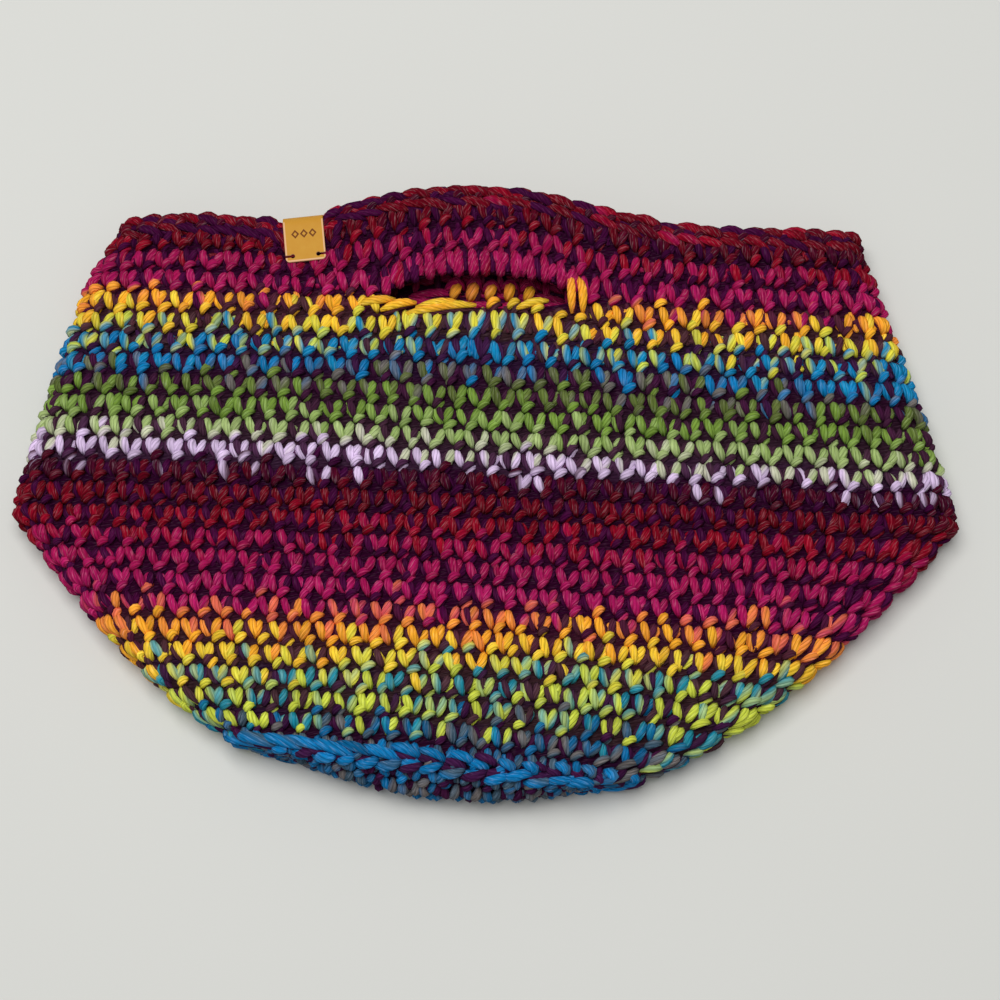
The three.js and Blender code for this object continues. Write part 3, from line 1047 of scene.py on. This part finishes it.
@dataclass
class CrochetRounds:
    """Single crochet in the round. Each stitch shows two legs that stand in a V and a slanting top loop.

    A zone has its name, its lowest round, the round after its highest, and how freely its dyes mix.
    """

    form: BagForm
    worker: YarnWorker
    finish: Material
    stitch_width: float = 9.55
    row_shift: float = 0.3
    twisted_share: float = 0.6
    handle_stripe: float = 21.8
    leans: Table = ((4, 0), (8, 0.35), (12, 0.5), (16, 0.5), (20, 0.35), (24, 0))
    sags: Table = ((0, 0), (2, 0.35), (5, 0.36), (8, 0.1), (11, 0))
    drifts: Table = (
        (0, -0.4), (2, -0.95), (4, -0.75), (6, -0.8), (9, -0.3), (13, 0), (18, -0.2), (21, -0.1), (24, 0.15)
    )
    lifts: Table = ((0, -0.1), (2, -0.35), (4, -0.55), (6, -0.38), (9, 0))
    slot_draw: Table = ((14, 0), (16, -0.12), (18, 0), (19, 0.22), (20, 0.62))
    slot_shift: Table = ((14, 0), (17, -0.4), (19, -0.4), (20, -0.2))
    drawn_span: Pair = (-46.0, -5.0)
    outer_bows: tuple[Bow, ...] = (
        Bow((0.46, 0.03), (0.13, 0.84), lift=-1.9, bend=0.4, lead=52, swaps=0.18),
        Bow((0.54, 0.06), (0.87, 0.82), lift=-2.1, bend=-0.4, lead=128, turn=-40, swaps=0.18),
        Bow((0.03, 0.77), (0.48, 1.19), lift=-1.5, bend=0.5, lead=66, turn=25, plump=0.88, swaps=0.18),
    )
    inner_bows: tuple[Bow, ...] = (
        Bow((-0.05, 0.42), (0.75, 0.6), lift=-1.9, dive=-4.2, bend=0.4, lead=70),
        Bow((0.88, 0.1), (0.82, 0.9), lift=-2.4, dive=-4.2, lead=90),
    )
    zones: tuple[tuple[str, int, int, float], ...] = (
        ("base_rounds", -2, 0, 1.0),
        ("flare_rounds", 0, 6, 1.0),
        ("belly_rounds", 6, 11, 0.8),
        ("waist_rounds", 11, 16, 0.5),
        ("shoulder_rounds", 16, 21, 0.8),
        ("handle_rounds", 21, 24, 0.35),
    )
    inner_zone: tuple[str, int, int] = ("inner_rounds", 18, 24)
    inner_detail: tuple[int, int] = (5, 5)

    def stitches(self, first: int, last: int) -> tuple[Array, Array, Array]:
        """The round, the number in it and the round's count of every stitch from first up to last.

        Args:
            first: The lowest round.
            last: The round after the highest.

        Returns:
            Rounds, numbers and counts, with an entry for each stitch.
        """
        rounds = np.arange(first, last)
        counts = self.form.perimeter(np.maximum(rounds + 0.5, 0)) / self.stitch_width
        counts = np.round(counts).astype(int)
        number = np.concatenate([np.arange(count) for count in counts])
        return np.repeat(rounds, counts), number, np.repeat(counts, counts)

    def settle(self, rounds: Array, share: Array, band: Array) -> Array:
        """Where worked rounds have come to lie. They lean down to the right fold by a cosine of the share,
        hang lower at both folds near the seam by its square, and are drawn up to the front slot's lower edge.

        Args:
            rounds: Rounds above the seam, as worked.
            share: Shares round the bag.
            band: True for the handle rounds.

        Returns:
            Rounds above the seam.
        """
        turn = np.cos(2 * np.pi * share)
        lying = rounds + read(self.leans, rounds) * turn - read(self.sags, rounds) * turn**2
        return lying + self.near_slot(self.slot_draw, rounds, share, band)

    def near_slot(self, table: Table, rounds: Array, share: Array, band: Array) -> Array:
        """A table's value for each round, in full below the front slot's middle and nothing past its ends."""
        arch = self.form.slot_arch(self.form.across(rounds, share))
        return np.where((share % 1 < 0.5) & ~band, read(table, rounds) * arch, 0)

    def opened(self, work: StrandSet, rounds: Array, upright: bool) -> Array:
        """True for each stitch whose bow is missing at the front slot.

        Args:
            work: The bow's tubes in every stitch, first those of the striped strand.
            rounds: The round of each stitch.
            upright: True for a leg, and False for a top loop, which is also missing below the drawn loops.

        Returns:
            One flag for each stitch.
        """
        x, _, z = work.points[: len(rounds)].mean((1, 2)).T
        missing = (rounds == self.form.slot_round - 1) & (np.abs(x) < self.form.slot_width / 2)
        if not upright:
            first, last = self.drawn_span
            missing |= (rounds == self.form.slot_round - 2) & (x > first) & (x < last)
        return missing & (z > self.form.fold_radius)

    def zone(self, name: str, first: int, last: int, face: Side, bows: tuple[Bow, ...]) -> Piece:
        """One piece of several rounds.

        Args:
            name: The piece's name.
            first: Its lowest round.
            last: The round after its highest.
            face: The face of the crochet that it lies on.
            bows: The bows of each stitch.

        Returns:
            The piece.
        """
        rounds, number, counts = (values[:, None] for values in self.stitches(first, last))
        shift = number + self.row_shift * rounds
        band = rounds >= self.form.slot_round

        def place(across: Array, up: Array, height: Array) -> Array:
            """Points in every stitch.

            Args:
                across: Places across, in stitch widths from each stitch's start.
                up: Places up, in rounds from each stitch's foot.
                height: Heights over the stitch crests.

            Returns:
                Points with a last axis of three.
            """
            depth = -height if face is Side.OUTER else self.form.wall + height
            share = (shift + across) / counts
            middle, lying = (self.settle(rounds + at, share, band) for at in (0.5, up))
            return self.form.place(lying, self.form.upright(middle, lying, share), depth, band)

        def stripe(across: Array, up: Array, height: Array) -> Array:
            """Dyes in every stitch.

            Args:
                across: Places across, in stitch widths from each stitch's start.
                up: Places up, in rounds from each stitch's foot.
                height: Heights over the stitch crests; not used.

            Returns:
                Places along the striped strand.
            """
            share = (shift + across) / counts
            drift = read(self.drifts, rounds) * np.cos(2 * np.pi * share)
            number = rounds + up + read(self.lifts, rounds) + share % 1 - 0.25 - drift
            number = number + self.near_slot(self.slot_shift, rounds, share, band)
            return np.where(band, np.maximum(number, self.handle_stripe), number)

        pitch = (self.form.perimeter(np.maximum(rounds + 0.5, 0)) / counts)[:, 0]
        twisted = self.worker.rng.random(len(pitch)) < self.twisted_share
        sets = []
        for bow in bows:
            upright = abs(bow.end[1] - bow.start[1]) > abs(bow.end[0] - bow.start[0])
            sides = twisted if upright else None
            rise = self.form.round_height
            work = self.worker.pair(bow, len(pitch), pitch, rise, place, stripe, sides)
            sets.append(work.kept(~self.opened(work, rounds[:, 0], upright)))
        return MeshWriter.strands(name, StrandSet.joined(sets), self.finish)

    def build(self) -> None:
        """Lays the outer face zone by zone, then what shows of the inner face at the mouth and slots."""
        worker = self.worker
        for name, first, last, mixing in self.zones:
            bows = tuple(replace(bow, mixing=mixing) for bow in self.outer_bows)
            dress(self.zone(name, first, last, Side.OUTER, bows), "bag_body")
        detail = worker.rings, worker.sides
        worker.rings, worker.sides = self.inner_detail
        dress(self.zone(*self.inner_zone, Side.INNER, self.inner_bows), "bag_body")
        worker.rings, worker.sides = detail


@dataclass
class ChainEdges:
    """Chains of pointed links: on the seam, over the rim and along the hand slots."""

    form: BagForm
    worker: YarnWorker
    finish: Material
    link: float = 9.2
    seam_height: float = 8.0
    seam_lift: float = 1.8
    rim_height: float = 11.5
    rim_middles: Pair = (-0.6, 8.6)
    slot_roll: float = 1.6
    slot_lift: float = 0.8
    wrap_size: Pair = (6.3, 9.0)
    loop_x: float = 40.5
    behind_x: float = -12.5
    behind_step: float = 8.0
    behind_count: int = 5
    drawn_stripe: float = 20.0
    loop_stripe: float = 20.4
    behind_stripe: float = 20.6
    arc_stripe: float = 21.9
    wrap_stripe: float = 22.2
    seam_stripe: float = -0.4
    rim_stripe: float = 23.1
    legs: tuple[Bow, ...] = tuple(
        Bow(
            (-0.12, way * 0.44), (1.05, way * 0.06), lift=-1.2, dive=-3.6, bend=way * 0.6,
            lead=90 - way * 18, turn=way * 30, plump=1.2, mixing=0.3,
        )
        for way in (1, -1)
    )
    rim_legs: tuple[Bow, ...] = (
        Bow(
            (-0.32, 0.3), (1.22, 0.08), lift=-1.3, dive=-3.0, bend=1.0, lead=50, plump=1.2,
            swaps=0.35, mixing=0.4,
        ),
        Bow(
            (-0.3, -0.08), (1.25, -0.4), lift=-1.4, dive=-3.2, bend=0.4, lead=70, plump=1.05,
            swaps=0.4, mixing=0.4,
        ),
    )
    wraps: tuple[Bow, ...] = (
        Bow(
            (0.42, -1.3), (0.5, 0.8), lift=-1.6, dive=-3.6, lead=25, turn=15, plump=1.15,
            swaps=0.1, mixing=0.3,
        ),
    )
    drawn_loops: tuple[Bow, ...] = (
        loose((-54, 20.45), (-38, 20.75), lift=-0.9, dive=-3.2, bend=0.8, lead=80),
        loose((-44, 20.2), (-29, 20.6), lift=-1.1, dive=-3.2, bend=0.6, lead=80),
        loose((-34, 20.0), (-3, 20.5), lift=-0.8, dive=-3.2, bend=1.2, lead=80, turn=10),
        loose((-29, 20.4), (-9, 20.6), lift=-1.2, dive=-3.2, bend=0.8, lead=80, turn=10),
        loose((14, 20.4), (28, 20.75), lift=-1.2, dive=-3.2, bend=0.4, lead=80, plump=0.9),
    )
    back_loops: tuple[Bow, ...] = (
        loose((0.0, -0.3), (0.1, 0.3), lift=2.0, dive=-2.6, bend=-0.3, lead=90, plump=1.3),
    )
    back_arcs: tuple[Bow, ...] = (
        Bow(
            (-0.42, 0.1), (0.5, 0.14), lift=1.2, dive=-2.2, bend=3.0, lead=90, plump=0.9,
            swaps=0.2, mixing=0.2,
        ),
    )
    back_drawn: tuple[Bow, ...] = (
        loose((-44, 21.1), (-16, 21.3), lift=-1.6, dive=-4.0, bend=0.5, lead=110),
        loose((-22, 21.15), (8, 21.25), lift=-1.8, dive=-4.0, bend=-0.4, lead=70),
        loose((2, 21.1), (30, 21.3), lift=-1.6, dive=-4.0, bend=0.5, lead=110),
        loose((22, 21.2), (46, 21.1), lift=-1.8, dive=-4.0, bend=0.3, lead=70),
        loose((-36, 21.5), (-8, 21.7), lift=-2.0, dive=-4.0, bend=0.5, lead=30),
        loose((-14, 21.7), (16, 21.6), lift=-2.2, dive=-4.0, bend=0.4, lead=20),
        loose((8, 21.6), (38, 21.5), lift=-2.0, dive=-4.0, bend=0.5, lead=30),
    )
    end_loop: tuple[Bow, ...] = (
        loose((-0.22, -0.72), (-0.2, 1.05), lift=-0.6, dive=-3.8, bend=0.4, lead=85),
        loose((0.2, -0.66), (0.12, 0.98), lift=-0.4, dive=-3.8, bend=-0.5, lead=95),
    )

    def row(
        self, legs: tuple[Bow, ...], count: int, size: Pair, place: Map, number: float
    ) -> StrandSet:
        """All legs of a row of links.

        Args:
            legs: The bows of each link.
            count: Number of links.
            size: Length and height of a link.
            place: Map from (across, up, height) arrays, one row per link, to points.
            number: Place along the striped strand.

        Returns:
            Two tubes for each leg of each link.
        """
        pitch = np.full(count, size[0])
        stripe = even(number)
        return StrandSet.joined([self.worker.pair(leg, count, pitch, size[1], place, stripe) for leg in legs])

    def links(self, rounds: float) -> int:
        """How many links go once round the bag on a round."""
        return int(round(float(self.form.perimeter(rounds)) / self.link))

    def seam(self) -> Piece:
        """The unworked loops that stand proud along the seam.

        Returns:
            The piece.
        """
        count = self.links(0.0)
        number = np.arange(count)[:, None]
        share = self.seam_height / self.form.round_height

        def place(across: Array, up: Array, height: Array) -> Array:
            """Points along the seam."""
            return self.form.place(up * share, (number + across) / count, -self.seam_lift - height, False)

        work = self.row(self.legs, count, (self.link, self.seam_height), place, self.seam_stripe)
        return MeshWriter.strands("seam_chain", work, self.finish)

    def rim(self) -> Piece:
        """The edging chain over the rim, and a second one on its inner side.

        Returns:
            The piece.
        """
        form = self.form
        count = self.links(float(form.rim_round))
        number = np.arange(count)[:, None]
        sets = []
        for middle in self.rim_middles:

            def place(across: Array, up: Array, height: Array, middle: float = middle) -> Array:
                """Points over the rim.

                Args:
                    across: Places along the row, in links from each link's start.
                    up: Places up, in heights of a link.
                    height: Heights over the fabric.
                    middle: How far over the edge the chain's middle lies.

                Returns:
                    Points with a last axis of three.
                """
                over = middle + up * self.rim_height
                share = (number + across) / count
                return form.over_edge(form.rim_round, share, over, height, form.rim_roll, 1)

            size = (self.link, self.rim_height)
            sets.append(self.row(self.rim_legs, count, size, place, self.rim_stripe))
        return MeshWriter.strands("rim_chain", StrandSet.joined(sets), self.finish)

    def wrapped(self, front: bool) -> StrandSet:
        """Strands wrapped round the upper edge of the slot in the front or the back.

        Args:
            front: True for the slot in the front.

        Returns:
            Two tubes for each wrap.
        """
        form = self.form
        count = int(round(form.slot_width / self.wrap_size[0]))
        number = np.arange(count)[:, None]

        def place(across: Array, up: Array, height: Array) -> Array:
            """Points round the slot's upper edge.

            Args:
                across: Places along the row, in links from each link's start.
                up: Places up, in heights of a link.
                height: Heights over the fabric.

            Returns:
                Points with a last axis of three.
            """
            x = (number + across - count / 2) * self.wrap_size[0]
            share = form.share_at(x, float(form.slot_round), front)
            return form.over_edge(form.slot_round, share, up * self.wrap_size[1], height, self.slot_roll, -1)

        return self.row(self.wraps, count, self.wrap_size, place, self.wrap_stripe)

    def drawn(self, loops: tuple[Bow, ...], front: bool, number: float) -> StrandSet:
        """Loops drawn out along a slot's lower edge.

        Args:
            loops: The loops, placed in millimetres across and in rounds.
            front: True for the outer face of the front, and False for the inner face of the back.
            number: Place along the striped strand.

        Returns:
            Two tubes for each loop.
        """
        form = self.form

        def place(across: Array, up: Array, height: Array) -> Array:
            """Points along the slot's lower edge."""
            depth = -self.slot_lift - height if front else form.wall + height
            return form.place(up, form.share_at(across, up, front), depth, False)

        return self.row(loops, 1, (1.0, form.round_height), place, number)

    def loop(self) -> StrandSet:
        """The tall loop that ends the front slot's lower edge.

        Returns:
            Two tubes for each of its legs.
        """
        form = self.form

        def place(across: Array, up: Array, height: Array) -> Array:
            """Points at the slot's end."""
            share = form.share_at(self.loop_x + across * self.link, float(form.slot_round), True)
            return form.place(form.slot_round + up, share, -self.slot_lift - height, False)

        return self.row(self.end_loop, 1, (self.link, form.round_height), place, self.loop_stripe)

    def loops_behind(self, loops: tuple[Bow, ...], stripe: float) -> StrandSet:
        """Loops inside the back handle, which show through the front slot.

        Args:
            loops: The bows of each loop.
            stripe: Place along the striped strand.

        Returns:
            Two tubes for each bow of each loop.
        """
        form = self.form
        number = np.arange(self.behind_count)[:, None]

        def place(across: Array, up: Array, height: Array) -> Array:
            """Points inside the back handle.

            Args:
                across: Places along the row, in links from each link's start.
                up: Places up, in heights of a link.
                height: Heights over the fabric.

            Returns:
                Points with a last axis of three.
            """
            x = self.behind_x + (number + across) * self.behind_step
            share = form.share_at(x, float(form.slot_round), False)
            return form.place(form.slot_round + up, share, form.wall + height, True)

        return self.row(loops, self.behind_count, (self.behind_step, form.round_height), place, stripe)

    def slots(self) -> Piece:
        """Strands wrapped round each slot's upper edge, and the loose loops that show in the front slot.

        Returns:
            The piece.
        """
        sets = [
            self.loop(),
            self.loops_behind(self.back_loops, self.behind_stripe),
            self.loops_behind(self.back_arcs, self.arc_stripe),
            self.drawn(self.drawn_loops, True, self.drawn_stripe),
            self.drawn(self.back_drawn, False, self.arc_stripe),
            self.wrapped(True),
            self.wrapped(False),
        ]
        return MeshWriter.strands("slot_edges", StrandSet.joined(sets), self.finish)

    def build(self) -> None:
        """Lays all chains."""
        for made in (self.seam(), self.rim(), self.slots()):
            dress(made, "bag_body")


@dataclass
class FabricCore:
    """The dense inside of the fabric, which closes the gaps between the visible strands. Its plum is darkened
    as painted shade in those gaps.
    """

    form: BagForm
    finish: Material
    outer_depth: float = 3.2
    inner_margin: float = 1.6
    lip_depths: Pair = (4.2, 5.4)
    slot_lip: float = 0.3
    rim_lip: float = 1.6
    lowest: float = 0.4
    around: int = 180
    steps: int = 2
    # painted shade: the core's plum is darkened to this share, as the gaps between strands lie in shade
    shade: float = 0.42
    sink_rounds: float = 1.5

    def skin(self, rounds: Array, lips: tuple[float, ...], band: bool) -> tuple[Array, Array]:
        """A grid whose rows are loops round the bag: up the outer face, over a lip, down the inner face and,
        on the handle band, under a second lip.

        Args:
            rounds: Rounds from the lowest to the highest.
            lips: How far the lips stand out along the bag.
            band: True for the handle band.

        Returns:
            Points and stripe numbers.
        """
        form = self.form
        count = len(rounds)
        rows = [
            (rounds, np.full(count, self.outer_depth), np.zeros(count)),
            (rounds[[-1, -1]], self.lip_depths, (lips[0], lips[0])),
            (rounds[::-1], np.full(count, form.wall - self.inner_margin), np.zeros(count)),
        ]
        if band:
            rows.append((rounds[[0, 0]], self.lip_depths[::-1], (lips[1], lips[1])))
        rounds, depth, rise = (np.concatenate(part)[:, None] for part in zip(*rows, strict=True))
        share = np.arange(self.around) / self.around
        grid = form.place(rounds, share, depth, band)
        arch = np.where(grid[..., 2] > form.fold_radius, *form.slot_sinks) * form.slot_arch(grid[..., 0])
        sunk = 0 if band else np.clip((rounds - form.slot_round) / self.sink_rounds + 1, 0, 1)
        grid[..., 1] += rise - arch * sunk
        grid[..., 2] = np.maximum(grid[..., 2], self.lowest)
        return grid, rounds + share - 0.25

    def faces(self, rows: int, closed: bool) -> Array:
        """Quads of a grid that closes round the bag, and also from its last row to its first if closed.

        Args:
            rows: Number of rows.
            closed: True to join the last row to the first.

        Returns:
            Corner numbers, four for each face.
        """
        row = np.arange(rows if closed else rows - 1)[:, None]
        column = np.arange(self.around)
        after = (column + 1) % self.around
        above = (row + 1) % rows
        quads = [row * self.around + column, row * self.around + after, above * self.around + after]
        return np.stack([*quads, above * self.around + column], -1).reshape(-1, 4)

    def build(self) -> None:
        """The wall up to the slots is a shell that closes on the base's middle line. The band is a ring."""
        form = self.form
        low, slot, high = (at * self.steps for at in (-form.base_rounds, form.slot_round, form.rim_round))
        wall, wall_stripe = self.skin(np.arange(low, slot + 1) / self.steps, (self.slot_lip,), False)
        lips = (self.rim_lip, -self.slot_lip)
        band, band_stripe = self.skin(np.arange(slot, high + 1) / self.steps, lips, True)
        faces = [self.faces(len(wall), False), self.faces(len(band), True) + wall_stripe.size]
        points = np.concatenate([wall.reshape(-1, 3), band.reshape(-1, 3)])
        made = MeshWriter.piece("fabric_core", points, faces, self.finish)
        MeshWriter.number(made, "stripe", np.concatenate([wall_stripe.ravel(), band_stripe.ravel()]))
        MeshWriter.number(made, "strand", np.ones(len(points)))
        # painted shade: every point of the core gets the darkened share
        MeshWriter.number(made, "shade", np.full(len(points), self.shade))
        MeshWriter.weld(made.data)
        dress(made, "bag_body")


@dataclass
class LeatherTag:
    """The folded strip on the front rim, with softened edges."""

    finish: Material
    edge_round: float = 0.22
    edge_steps: int = 2
    flat_angle: float = 0.02
    edge_angle: float = 50.0
    sharp_angle: float = 40.0

    def build(self) -> None:
        """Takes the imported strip's shape, joins its triangles and rounds its edges."""
        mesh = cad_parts["leather_tag"].data.copy()
        MeshWriter.weld(mesh, self.flat_angle)
        mesh.materials.clear()
        mesh.materials.append(self.finish)
        made = bpy.data.objects.new("folded_tag", mesh)
        bpy.context.scene.collection.objects.link(made)
        bevel = made.modifiers.new("soft_edges", "BEVEL")
        bevel.width = self.edge_round * MM
        bevel.segments = self.edge_steps
        bevel.limit_method = "ANGLE"
        bevel.angle_limit = np.radians(self.edge_angle)
        mesh.shade_smooth()
        mesh.set_sharp_from_angle(angle=np.radians(self.sharp_angle))
        normals = made.modifiers.new("even_faces", "WEIGHTED_NORMAL")
        normals.keep_sharp = True
        dress(made, "leather_tag")


@dataclass
class Studio:
    """Table, soft light and the camera's view from above.

    Table, lamp and camera are placed in metres. The aim's height and the sensor are in millimetres.
    """

    table_size: float = 6.0
    sky_colour: tuple[float, float, float, float] = (0.97, 0.985, 1.0, 1.0)
    sky_strength: float = 0.26
    lamp_at: tuple[float, float, float] = (-0.25, 0.3, 2.2)
    lamp_size: float = 1.4
    lamp_power: float = 42.0
    elevation: float = 76.5
    azimuth: float = 0.8
    roll: float = 0.294
    distance: float = 1.1
    aim_height: float = 12.0
    pixels_per_mm: float = 2.323
    offset: Pair = (-15.06, -8.37)
    frame_pixels: int = 1000
    sensor: float = 36.0

    def table(self) -> None:
        """A pale table top that carries the shadow."""
        half = self.table_size / 2 / MM
        corners = np.array([[-half, -half, 0], [half, -half, 0], [half, half, 0], [-half, half, 0]])
        MeshWriter.piece("table", corners, [np.array([[0, 1, 2, 3]])], TableFinish().material())

    def light(self) -> None:
        """An even room with one large square ceiling light, a little to the upper left, facing the bag."""
        world = bpy.data.worlds.new("room")
        world.use_nodes = True
        sky = world.node_tree.nodes["Background"]
        sky.inputs["Color"].default_value = self.sky_colour
        sky.inputs["Strength"].default_value = self.sky_strength
        bpy.context.scene.world = world
        light = bpy.data.lights.new("ceiling", "AREA")
        light.size = self.lamp_size
        light.energy = self.lamp_power
        lamp = bpy.data.objects.new("ceiling", light)
        lamp.location = self.lamp_at
        lamp.rotation_euler = (-Vector(self.lamp_at)).to_track_quat("-Z", "Y").to_euler()
        bpy.context.scene.collection.objects.link(lamp)

    def camera(self) -> None:
        """A long lens high over the bag, set so that the middle of its thickness falls at the offset from the
        picture's centre."""
        elevation, azimuth, roll = np.radians([self.elevation, self.azimuth, self.roll])
        flat = np.cos(elevation)
        ahead = np.array([np.sin(azimuth) * flat, np.cos(azimuth) * flat, -np.sin(elevation)])
        level = np.array([np.cos(azimuth), -np.sin(azimuth), 0])
        up = np.cross(level, ahead)
        right = np.cos(roll) * level + np.sin(roll) * up
        up = -np.sin(roll) * level + np.cos(roll) * up
        aside = (-self.offset[0] * right + self.offset[1] * up) / self.pixels_per_mm * MM
        at = np.array([0, 0, self.aim_height * MM]) + aside - ahead * self.distance
        lens = bpy.data.cameras.new("camera")
        lens.sensor_width = self.sensor
        lens.lens = self.pixels_per_mm / MM * self.distance / self.frame_pixels * self.sensor
        eye = bpy.data.objects.new("camera", lens)
        turned = Matrix(np.stack([right, up, -ahead], 1).tolist()).to_4x4()
        eye.matrix_world = Matrix.Translation(at) @ turned
        bpy.context.scene.collection.objects.link(eye)
        bpy.context.scene.camera = eye

    def build(self) -> None:
        """Sets up the whole view."""
        bpy.context.scene.view_settings.view_transform = "Standard"
        self.table()
        self.light()
        self.camera()


def main() -> None:
    """Builds the bag piece by piece, then the studio; each piece's face count is logged as it is placed."""
    logging.basicConfig(level=logging.INFO, format="%(message)s")
    form = BagForm()
    yarn = YarnFinish().material()
    worker = YarnWorker(form)
    FabricCore(form, YarnFinish().material(dense=True)).build()
    CrochetRounds(form, worker, yarn).build()
    ChainEdges(form, worker, yarn).build()
    LeatherTag(LeatherFinish(form).material()).build()
    Studio().build()


if __name__ == "__main__":
    main()
